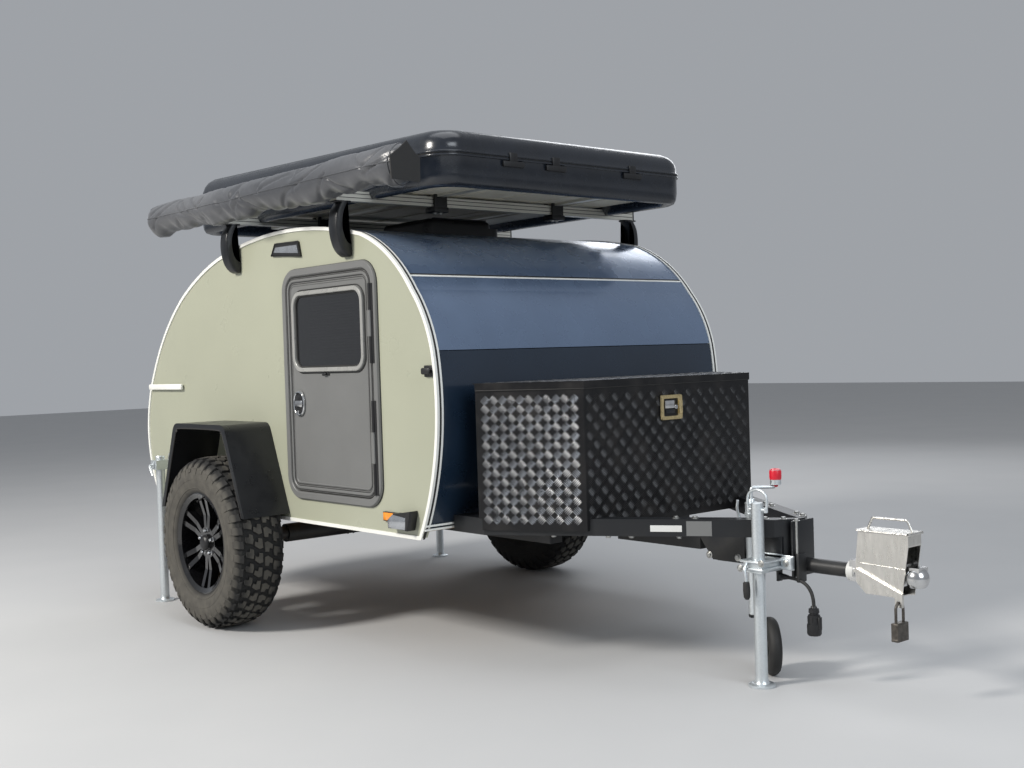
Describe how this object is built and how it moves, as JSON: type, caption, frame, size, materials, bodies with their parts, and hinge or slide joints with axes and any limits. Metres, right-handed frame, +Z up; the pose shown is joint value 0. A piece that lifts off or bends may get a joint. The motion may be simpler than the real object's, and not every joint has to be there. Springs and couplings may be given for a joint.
{
  "type": "teardrop trailer",
  "caption": "Small off-road teardrop caravan with side doors, rear kitchen hatch, drawbar storage box, roof tent and awning bag, standing on its wheels and stands.",
  "frame": {"origin": "on the floor under the middle of the trailer's bounding box", "axes": "+X forward to the coupling, +Y to the trailer's left, +Z up"},
  "size_m": [3.907, 2.084, 2.062],
  "materials": {
    "chassis": "satin black",
    "galvanised": "galvanised",
    "bright_steel": "polished",
    "stainless": "brushed stainless sheet",
    "brass_lock": "satin",
    "plywood": "varnished plywood",
    "side_paint": "sage grey-green gel coat over a sandwich panel",
    "roof_paint": "metallic slate skin over a sandwich panel",
    "front_paint": "dark metallic skin over a sandwich panel",
    "cushion": "woven cover over foam",
    "white_trim": "white edging",
    "lamp_plastic": "lamp lenses",
    "black_plastic": "moulded black",
    "black_steel": "black powder coat",
    "chequer_plate": "black chequer plate",
    "bar_aluminium": "anodised extrusion",
    "vent_plastic": "dark dome on a pale base",
    "tent_shell": "black ribbed shell",
    "awning_vinyl": "black coated cloth",
    "black_rubber": "moulded rubber",
    "tyre": "dusty tread",
    "rim_black": "gloss black alloy",
    "door_paint": "dark grey",
    "window": "tinted acrylic"
  },
  "bodies": {
    "chassis": {"chassis_rails": "chassis", "chassis_cross_members": "chassis", "drawbar_arm_left": "chassis", "drawbar_arm_right": "chassis", "drawbar_cross_beams": "chassis", "drawbar_spine": "chassis", "coupling_tube": "chassis", "coupling_head": "bright_steel", "coupling_lock_box": "stainless", "padlock": "brass_lock", "axle": "chassis", "floor_panel": "plywood", "side_panel_left": "side_paint", "side_panel_right": "side_paint", "roof_skin": "roof_paint", "front_panel_upper": "roof_paint", "front_panel_lower": "front_paint", "tail_panel": "roof_paint", "bulkhead": "plywood", "galley_worktop": "plywood", "mattress": "cushion", "edge_trims": "white_trim", "door_frames": "door_paint", "side_lamps": "lamp_plastic", "rear_lamps": "lamp_plastic", "door_hinges": "black_plastic", "fender_left": "black_steel", "fender_right": "black_steel", "storage_box": "chequer_plate", "roof_bars": "bar_aluminium", "roof_bar_feet": "black_steel", "roof_vent": "vent_plastic", "roof_tent_base": "tent_shell", "roof_tent_lid": "tent_shell", "tent_rails": "bar_aluminium", "awning_bag": "awning_vinyl", "prop_clamp": "galvanised", "jockey_tube": "galvanised", "leg_brackets": "galvanised", "plug_cable": "black_rubber", "plug": "black_plastic"},
    "wheel_right": {"tyre_right": "tyre", "rim_right": "rim_black", "hub_drum_right": "chassis"},
    "wheel_left": {"tyre_left": "tyre", "rim_left": "rim_black", "hub_drum_left": "chassis"},
    "door_right": {"door_right": "door_paint", "window_glass_right": "window"},
    "door_left": {"door_left": "door_paint", "window_glass_left": "window"},
    "rear_hatch": {"rear_hatch": "roof_paint"},
    "box_lid": {"storage_box_lid": "chequer_plate"},
    "prop_stand": {"prop_stand": "galvanised"},
    "leg_right": {"leg_right": "galvanised"},
    "leg_left": {"leg_left": "galvanised"},
    "jockey_inner": {"jockey_inner": "galvanised"},
    "jockey_fork": {"jockey_fork": "black_steel"},
    "jockey_wheel": {"jockey_wheel": "black_rubber"}
  },
  "joints": [
    {"name": "wheel_right_spin", "type": "hinge", "parent": "chassis", "child": "wheel_right", "pos_m": [-0.922, -0.92, 0.3725], "axis": [0, 1, 0], "continuous": true},
    {"name": "wheel_left_spin", "type": "hinge", "parent": "chassis", "child": "wheel_left", "pos_m": [-0.922, 0.92, 0.3725], "axis": [0, 1, 0], "continuous": true},
    {"name": "door_right_hinge", "type": "hinge", "parent": "chassis", "child": "door_right", "pos_m": [0.092, -0.79, 1.03], "axis": [0, 0, 1], "range_deg": [0, 175]},
    {"name": "door_left_hinge", "type": "hinge", "parent": "chassis", "child": "door_left", "pos_m": [0.092, 0.79, 1.03], "axis": [0, 0, -1], "range_deg": [0, 175]},
    {"name": "hatch_hinge", "type": "hinge", "parent": "chassis", "child": "rear_hatch", "pos_m": [-1.504, 0, 1.484], "axis": [0, 1, 0], "range_deg": [0, 85]},
    {"name": "box_lid_hinge", "type": "hinge", "parent": "chassis", "child": "box_lid", "pos_m": [0.558, 0, 1.041], "axis": [0, -1, 0], "range_deg": [0, 95]},
    {"name": "prop_stand_slide", "type": "slide", "parent": "chassis", "child": "prop_stand", "axis": [0, 0, 1], "range_m": [0, 0.3]},
    {"name": "leg_right_slide", "type": "slide", "parent": "chassis", "child": "leg_right", "axis": [0, 0, 1], "range_m": [0, 0.25]},
    {"name": "leg_left_slide", "type": "slide", "parent": "chassis", "child": "leg_left", "axis": [0, 0, 1], "range_m": [0, 0.25]},
    {"name": "jockey_slide", "type": "slide", "parent": "chassis", "child": "jockey_inner", "axis": [0, 0, 1], "range_m": [0, 0.12]},
    {"name": "jockey_swivel", "type": "hinge", "parent": "jockey_inner", "child": "jockey_fork", "pos_m": [1.312, -0.052, 0.2], "axis": [0, 0, 1], "continuous": true},
    {"name": "jockey_wheel_spin", "type": "hinge", "parent": "jockey_fork", "child": "jockey_wheel", "pos_m": [1.34789, -0.01033, 0.1], "axis": [0.6526, 0.7577, 0], "continuous": true}
  ]
}
